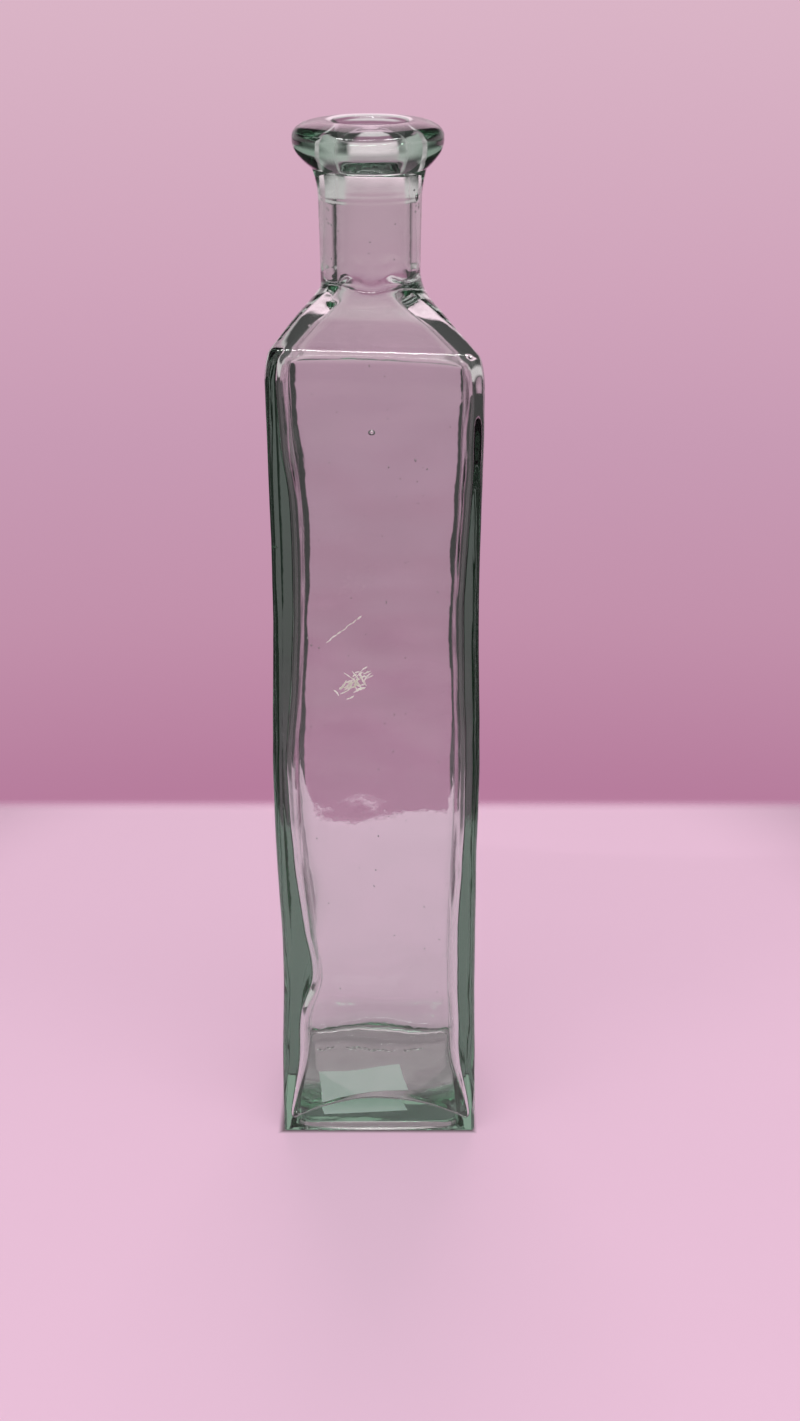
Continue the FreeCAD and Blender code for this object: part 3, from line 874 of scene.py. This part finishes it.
def node(tree, kind, **values):
    """Add a shader node and set its plain properties."""
    made = tree.nodes.new(kind)
    for name, value in values.items():
        setattr(made, name, value)
    return made


def start_material(name):
    """A new node material, its node tree, its Principled shader and its output."""
    material = bpy.data.materials.new(name)
    material.use_nodes = True
    tree = material.node_tree
    return material, tree, tree.nodes["Principled BSDF"], tree.nodes["Material Output"]


def noise_texture(tree, scale, detail):
    """The strength of a noise texture in object space."""
    place = node(tree, "ShaderNodeTexCoord")
    texture = node(tree, "ShaderNodeTexNoise")
    texture.inputs["Scale"].default_value = scale
    texture.inputs["Detail"].default_value = detail
    tree.links.new(place.outputs["Object"], texture.inputs["Vector"])
    return texture.outputs["Fac"]


def map_range(tree, source, span, result=(0.0, 1.0), smooth=False):
    """A value that goes through the result's span as its source goes through its own."""
    made = node(tree, "ShaderNodeMapRange", interpolation_type="SMOOTHSTEP" if smooth else "LINEAR")
    made.inputs["From Min"].default_value, made.inputs["From Max"].default_value = span
    made.inputs["To Min"].default_value, made.inputs["To Max"].default_value = result
    tree.links.new(source, made.inputs["Value"])
    return made.outputs["Result"]


def colour_ramp(tree, source, stops):
    """A colour that follows a source from 0 to 1, from a list of positions and colours."""
    ramp = node(tree, "ShaderNodeValToRGB")
    elements = ramp.color_ramp.elements
    while len(elements) < len(stops):
        elements.new(0.5)
    for element, (position, colour) in zip(elements, stops):
        element.position = position
        element.color = (*colour, 1.0)
    tree.links.new(source, ramp.inputs["Fac"])
    return ramp.outputs["Color"]


def mottle(tree, source, low, high):
    """Two colours, blended over the middle values of a noise."""
    return colour_ramp(tree, source, [(0.3, low), (0.7, high)])


def mix_colours(tree, factor, first, second):
    """Two colours, plain or linked: the first gives way to the second as the factor goes to 1."""
    mix = node(tree, "ShaderNodeMix", data_type="RGBA")
    tree.links.new(factor, mix.inputs["Factor"])
    for number, colour in ((MIX_FIRST, first), (MIX_SECOND, second)):
        if isinstance(colour, tuple):
            mix.inputs[number].default_value = (*colour, 1.0)
        else:
            tree.links.new(colour, mix.inputs[number])
    return mix.outputs[MIX_RESULT]


def maths(tree, operation, *values):
    """The result of a maths node on one or two linked values."""
    made = node(tree, "ShaderNodeMath", operation=operation)
    for socket, value in zip(made.inputs, values):
        tree.links.new(value, socket)
    return made.outputs["Value"]


def parts_of(tree, vector):
    """The three parts of a vector."""
    made = node(tree, "ShaderNodeSeparateXYZ")
    tree.links.new(vector, made.inputs["Vector"])
    return [made.outputs[axis] for axis in "XYZ"]


def bump(tree, source, strength, distance):
    """A normal that is bumped by a source."""
    made = node(tree, "ShaderNodeBump")
    made.inputs["Strength"].default_value = strength
    made.inputs["Distance"].default_value = distance
    tree.links.new(source, made.inputs["Height"])
    return made.outputs["Normal"]


def glass_material():
    """Pale green recycled glass: clear, faintly rippled, with the colour in its depth."""
    material, tree, shader, output = start_material("recycled_green_glass")
    shader.inputs["Transmission Weight"].default_value = 1.0
    shader.inputs["IOR"].default_value = GLASS_IOR
    smears = noise_texture(tree, 60.0, 4.0)
    tint = mottle(tree, smears, (0.97, 0.985, 0.975), (1.0, 1.0, 1.0))
    tree.links.new(tint, shader.inputs["Base Color"])
    finish = map_range(tree, smears, (0.55, 0.80), (0.0, 0.05))
    tree.links.new(finish, shader.inputs["Roughness"])
    waves = noise_texture(tree, 220.0, 2.0)
    tree.links.new(bump(tree, waves, 0.12, 0.0003), shader.inputs["Normal"])
    depth = node(tree, "ShaderNodeVolumeAbsorption")
    depth.inputs["Color"].default_value = ABSORPTION_COLOUR
    depth.inputs["Density"].default_value = ABSORPTION_DENSITY
    tree.links.new(depth.outputs["Volume"], output.inputs["Volume"])
    return material


def paper_material(name, low, high, roughness):
    """Uncoated paper: blotched colour, fibres and a matt finish."""
    material, tree, shader, _ = start_material(name)
    blotch = noise_texture(tree, 260.0, 5.0)
    tree.links.new(mottle(tree, blotch, low, high), shader.inputs["Base Color"])
    finish = map_range(tree, blotch, (0.0, 1.0), (roughness - 0.1, roughness + 0.1))
    tree.links.new(finish, shader.inputs["Roughness"])
    fibres = noise_texture(tree, 1800.0, 3.0)
    tree.links.new(bump(tree, fibres, 0.3, 0.00005), shader.inputs["Normal"])
    return material


def floor_material():
    """A pale mottled surface: with painted shade under the object, dim far away, and clear past its
    back edge.
    """
    material, tree, shader, output = start_material("pale_floor")
    place = node(tree, "ShaderNodeTexCoord").outputs["Object"]
    pale = mottle(tree, noise_texture(tree, 5.0, 6.0), FLOOR_COLOUR, FLOOR_MOTTLE)
    positive = node(tree, "ShaderNodeVectorMath", operation="ABSOLUTE")
    tree.links.new(place, positive.inputs[0])
    beside, behind, _ = parts_of(tree, positive.outputs["Vector"])
    farthest = maths(tree, "MAXIMUM", beside, behind)
    # Painted shade: the colour is darker under the bottle's footprint and darkest along its standing
    # rim, then gives way to the pale floor just outside it.
    near_rim = map_range(tree, farthest, RIM_SHADE_SPAN, smooth=True)
    clear_of = map_range(tree, farthest, PALE_SPAN, smooth=True)
    under = mix_colours(tree, near_rim, PAINTED_FOOT_SHADE, PAINTED_RIM_SHADE)
    near = mix_colours(tree, clear_of, under, pale)
    oval = node(tree, "ShaderNodeVectorMath", operation="MULTIPLY")
    oval.inputs[1].default_value = (FLOOR_NARROW, 1.0, 0.0)
    tree.links.new(place, oval.inputs[0])
    away = node(tree, "ShaderNodeVectorMath", operation="LENGTH")
    tree.links.new(oval.outputs["Vector"], away.inputs[0])
    dim = map_range(tree, away.outputs["Value"], FLOOR_DIM_SPAN, smooth=True)
    tree.links.new(mix_colours(tree, dim, near, FAR_COLOUR), shader.inputs["Base Color"])
    shader.inputs["Roughness"].default_value = 0.75
    shader.inputs["Specular IOR Level"].default_value = 0.15
    clear = node(tree, "ShaderNodeBsdfTransparent")
    edge = node(tree, "ShaderNodeMixShader")
    _, y, _ = parts_of(tree, place)
    span = (FLOOR_BACK - FLOOR_FADE, FLOOR_BACK + FLOOR_FADE)
    tree.links.new(map_range(tree, y, span, smooth=True), edge.inputs["Fac"])
    tree.links.new(shader.outputs["BSDF"], edge.inputs[1])
    tree.links.new(clear.outputs["BSDF"], edge.inputs[2])
    tree.links.new(edge.outputs["Shader"], output.inputs["Surface"])
    return material


def make_floor():
    """The pale floor, which ends in a soft edge in front of the backdrop."""
    mesh = bmesh.new()
    side, back = FLOOR_REACH, FLOOR_BACK + 2 * FLOOR_FADE
    corners = [(-side, -side), (side, -side), (side, back), (-side, back)]
    mesh.faces.new([mesh.verts.new((x, y, -FLOOR_DROP)) for x, y in corners])
    data = bpy.data.meshes.new("floor")
    mesh.to_mesh(data)
    mesh.free()
    floor = bpy.data.objects.new("floor", data)
    bpy.context.scene.collection.objects.link(floor)
    data.materials.append(floor_material())


def elevation_ramp(tree, elevation, stops):
    """A colour that follows the elevation, from a list of degrees and colours."""
    share = map_range(tree, elevation, (-math.pi / 2, math.pi / 2))
    return colour_ramp(tree, share, [((degrees + 90) / 180, colour) for degrees, colour in stops])


def make_backdrop():
    """A plain backdrop behind the object and the room round it, as colours by direction."""
    world = bpy.data.worlds.new("studio")
    bpy.context.scene.world = world
    world.use_nodes = True
    tree = world.node_tree
    x, y, z = parts_of(tree, node(tree, "ShaderNodeTexCoord").outputs["Generated"])
    elevation = maths(tree, "ARCSINE", z)
    azimuth = maths(tree, "ABSOLUTE", maths(tree, "ARCTAN2", x, y))
    quarter = elevation_ramp(tree, elevation, NARROWING)
    half = maths(tree, "ADD", quarter, quarter)
    narrowed = maths(tree, "MULTIPLY", azimuth, maths(tree, "ADD", half, half))
    side = elevation_ramp(tree, elevation, ROOM)
    front = elevation_ramp(tree, elevation, ROOM_FRONT)
    backdrop = elevation_ramp(tree, elevation, BACKDROP)
    room = mix_colours(tree, map_range(tree, azimuth, FRONT_SIDE, smooth=True), side, front)
    edge = map_range(tree, narrowed, BACKDROP_SIDE, smooth=True)
    colour = mix_colours(tree, edge, backdrop, room)
    tree.links.new(colour, tree.nodes["Background"].inputs["Color"])


def add_light(name, place, target, size, watts):
    """A rectangular light aimed at a point. size is its width and height."""
    data = bpy.data.lights.new(name, "AREA")
    data.shape = "RECTANGLE"
    data.size, data.size_y = size
    data.energy = watts
    light = bpy.data.objects.new(name, data)
    bpy.context.scene.collection.objects.link(light)
    light.location = place
    aim = Vector(target) - Vector(place)
    light.rotation_euler = aim.to_track_quat("-Z", "Y").to_euler()
    return light


def make_lights(middle):
    """A curved row of strip lights high in front, and soft light from above on the floor."""
    for number, azimuth in enumerate(KEY_AZIMUTHS):
        place = middle + KEY_DISTANCE * Vector((
            math.sin(azimuth) * math.cos(KEY_ELEVATION),
            -math.cos(azimuth) * math.cos(KEY_ELEVATION),
            math.sin(KEY_ELEVATION),
        ))
        key = add_light(f"key_{number}", place, middle, KEY_SIZE, KEY_WATTS)
        key.data.use_shadow = False
    for name, watts, shadow in SOFT_LIGHTS:
        light = add_light(name, SOFT_PLACE, (0.0, 0.0, 0.0), SOFT_SIZE, watts)
        light.data.use_shadow = shadow
        light.visible_glossy = False
        light.visible_transmission = False


def make_camera():
    """The camera, a little above the bottle's lip and looking down at it."""
    data = bpy.data.cameras.new("camera")
    data.sensor_width = 36.0
    data.lens = CAMERA_LENS
    data.clip_start = 0.01
    camera = bpy.data.objects.new("camera", data)
    bpy.context.scene.collection.objects.link(camera)
    camera.location = CAMERA_PLACE
    camera.rotation_euler = (CAMERA_PITCH, 0.0, 0.0)
    bpy.context.scene.camera = camera


def main():
    """Build the pieces, the stage, the light and the camera."""
    bottle = make_bottle()
    bottle.data.materials.append(glass_material())
    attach(bottle, "root")
    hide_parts("glass_body", "applied_lip")

    label = make_label()
    label.data.materials.append(paper_material("label_paper", *LABEL_COLOURS, 0.8))
    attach(label, "root")
    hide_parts("price_label")

    residue = make_residue()
    residue.data.materials.append(paper_material("old_paper", *RESIDUE_COLOURS, 0.85))
    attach(residue, "root")
    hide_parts("label_residue")

    make_floor()
    make_backdrop()
    make_lights((CAD_LOW + CAD_HIGH) / 2)
    make_camera()
    bpy.context.scene.view_settings.view_transform = "Standard"
    cycles = bpy.context.scene.cycles
    cycles.max_bounces = 32
    cycles.transmission_bounces = 32
    cycles.glossy_bounces = 12
    cycles.caustics_reflective = False
    cycles.caustics_refractive = False


main()
